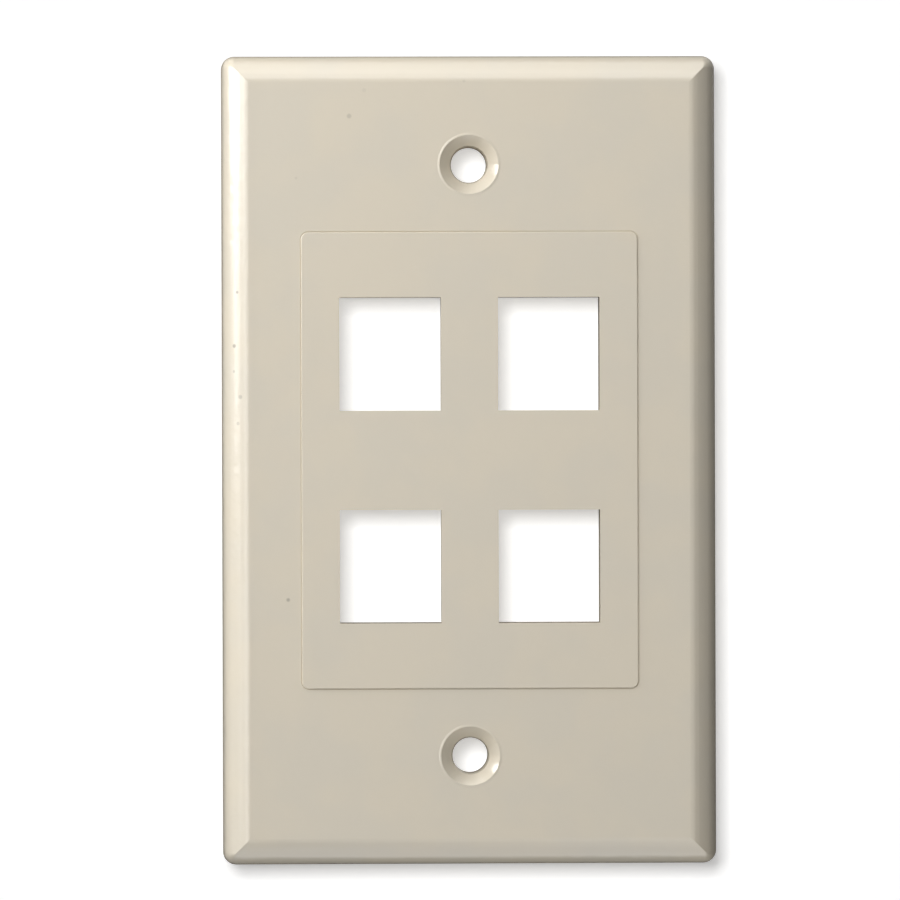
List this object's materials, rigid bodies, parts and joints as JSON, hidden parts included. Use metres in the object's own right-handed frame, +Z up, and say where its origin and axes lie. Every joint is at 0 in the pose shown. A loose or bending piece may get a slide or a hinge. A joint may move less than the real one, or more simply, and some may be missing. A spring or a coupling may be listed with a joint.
{
  "type": "keystone faceplate",
  "caption": "Moulded wall plate with bevelled edges, a raised panel, countersunk screw holes and snap-in openings for keystone jacks.",
  "frame": {"origin": "centre of the screw pattern, in the plane of the rear rim that meets the wall", "axes": "+X across the plate to the right as seen from the front, +Y back into the wall, +Z up"},
  "size_m": [0.0698, 0.0098, 0.1142],
  "materials": {
    "ivory_plastic": "smooth moulded gloss, light almond ivory"
  },
  "bodies": {
    "root": {"faceplate": "ivory_plastic"}
  },
  "joints": []
}
